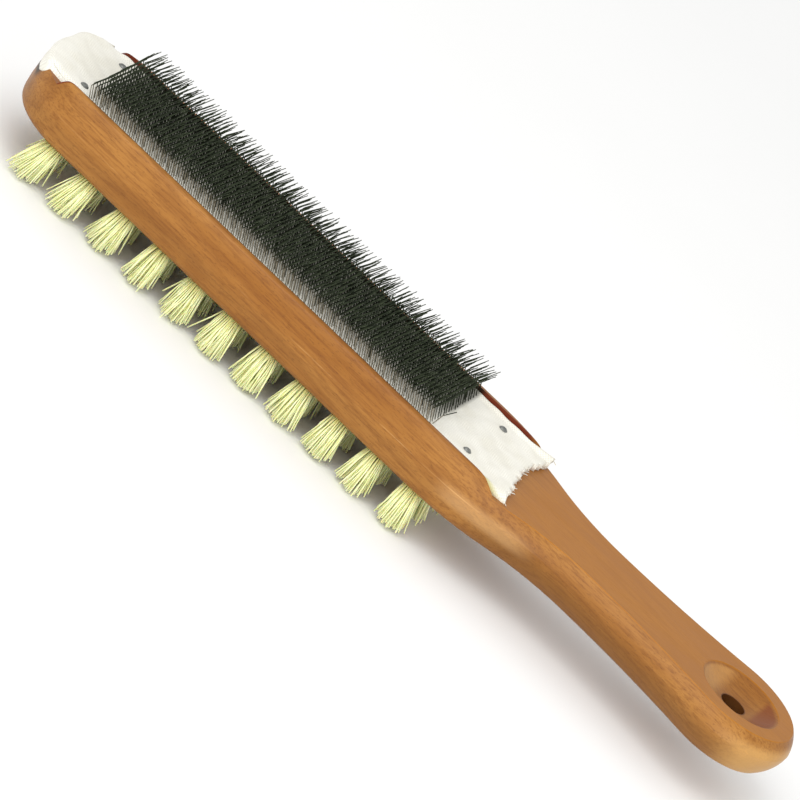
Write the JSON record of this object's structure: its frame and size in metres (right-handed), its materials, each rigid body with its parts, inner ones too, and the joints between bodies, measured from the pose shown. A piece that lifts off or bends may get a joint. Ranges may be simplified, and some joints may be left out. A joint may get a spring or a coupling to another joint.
{
  "type": "two-sided hand brush",
  "caption": "Hand brush with bent steel wires on a cloth strip on one face, bristle tufts on the other, and a paddle handle with a dished hang hole.",
  "frame": {"origin": "below the middle of the object's box, on the plane of the bristle tips", "axes": "+X from the rounded nose along the brush to the end of the handle, +Z the wire side"},
  "size_m": [0.25, 0.0474, 0.0343],
  "materials": {
    "lacquered_wood": "satin lacquer",
    "canvas": "woven",
    "wire": "dark oiled",
    "tack_steel": "dull",
    "anchor_steel": "bright",
    "bristle": "natural fibre"
  },
  "bodies": {
    "root": {"wooden_stock": "lacquered_wood", "backing_cloth": "canvas", "wire_teeth": "wire", "cloth_tacks": "tack_steel", "tuft_anchors": "anchor_steel", "tuft_r1_01": "bristle", "tuft_r1_02": "bristle", "tuft_r1_03": "bristle", "tuft_r1_04": "bristle", "tuft_r1_05": "bristle", "tuft_r1_06": "bristle", "tuft_r1_07": "bristle", "tuft_r1_08": "bristle", "tuft_r1_09": "bristle", "tuft_r1_10": "bristle", "tuft_r1_11": "bristle", "tuft_r2_01": "bristle", "tuft_r2_02": "bristle", "tuft_r2_03": "bristle", "tuft_r2_04": "bristle", "tuft_r2_05": "bristle", "tuft_r2_06": "bristle", "tuft_r2_07": "bristle", "tuft_r2_08": "bristle", "tuft_r2_09": "bristle", "tuft_r2_10": "bristle", "tuft_r2_11": "bristle", "tuft_r3_01": "bristle", "tuft_r3_02": "bristle", "tuft_r3_03": "bristle", "tuft_r3_04": "bristle", "tuft_r3_05": "bristle", "tuft_r3_06": "bristle", "tuft_r3_07": "bristle", "tuft_r3_08": "bristle", "tuft_r3_09": "bristle", "tuft_r3_10": "bristle", "tuft_r3_11": "bristle", "tuft_r4_01": "bristle", "tuft_r4_02": "bristle", "tuft_r4_03": "bristle", "tuft_r4_04": "bristle", "tuft_r4_05": "bristle", "tuft_r4_06": "bristle", "tuft_r4_07": "bristle", "tuft_r4_08": "bristle", "tuft_r4_09": "bristle", "tuft_r4_10": "bristle", "tuft_r4_11": "bristle"}
  },
  "joints": []
}
